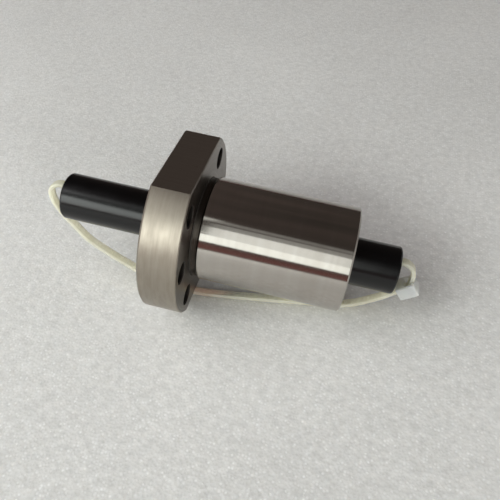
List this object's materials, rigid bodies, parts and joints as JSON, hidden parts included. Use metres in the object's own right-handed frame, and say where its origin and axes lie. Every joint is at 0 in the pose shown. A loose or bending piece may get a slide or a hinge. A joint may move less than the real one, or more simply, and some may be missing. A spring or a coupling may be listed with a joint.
{
  "type": "ball screw nut",
  "caption": "Flanged ball screw nut with internal ball recirculation, on a black transport arbor held by a cable tie.",
  "frame": {"origin": "on the screw axis, in the face of the flange that seats on the machine", "axes": "+X along the screw axis from the flange to the barrel end, +Z square to the two flats of the flange"},
  "size_m": [0.1038, 0.048, 0.042],
  "materials": {
    "ground_steel": "satin",
    "insert_steel": "satin",
    "ball_steel": "polished",
    "wiper_plastic": "satin",
    "arbor_plastic": "satin",
    "tie_nylon": "satin"
  },
  "bodies": {
    "nut": {"nut_body": "ground_steel", "deflector_1": "insert_steel", "deflector_2": "insert_steel", "deflector_3": "insert_steel", "deflector_4": "insert_steel", "ball_circuit_1": "ball_steel", "ball_circuit_2": "ball_steel", "ball_circuit_3": "ball_steel", "ball_circuit_4": "ball_steel", "front_wiper": "wiper_plastic", "rear_wiper": "wiper_plastic"},
    "tie": {"cable_tie": "tie_nylon"},
    "arbor": {"transport_arbor": "arbor_plastic"}
  },
  "joints": [
    {"name": "tie_slide", "type": "slide", "parent": "nut", "child": "tie", "axis": [1, 0, 0], "range_m": [-0.0012, 0.0012]},
    {"name": "arbor_spin", "type": "hinge", "parent": "tie", "child": "arbor", "pos_m": [0, 0, 0], "axis": [1, 0, 0], "continuous": true}
  ]
}
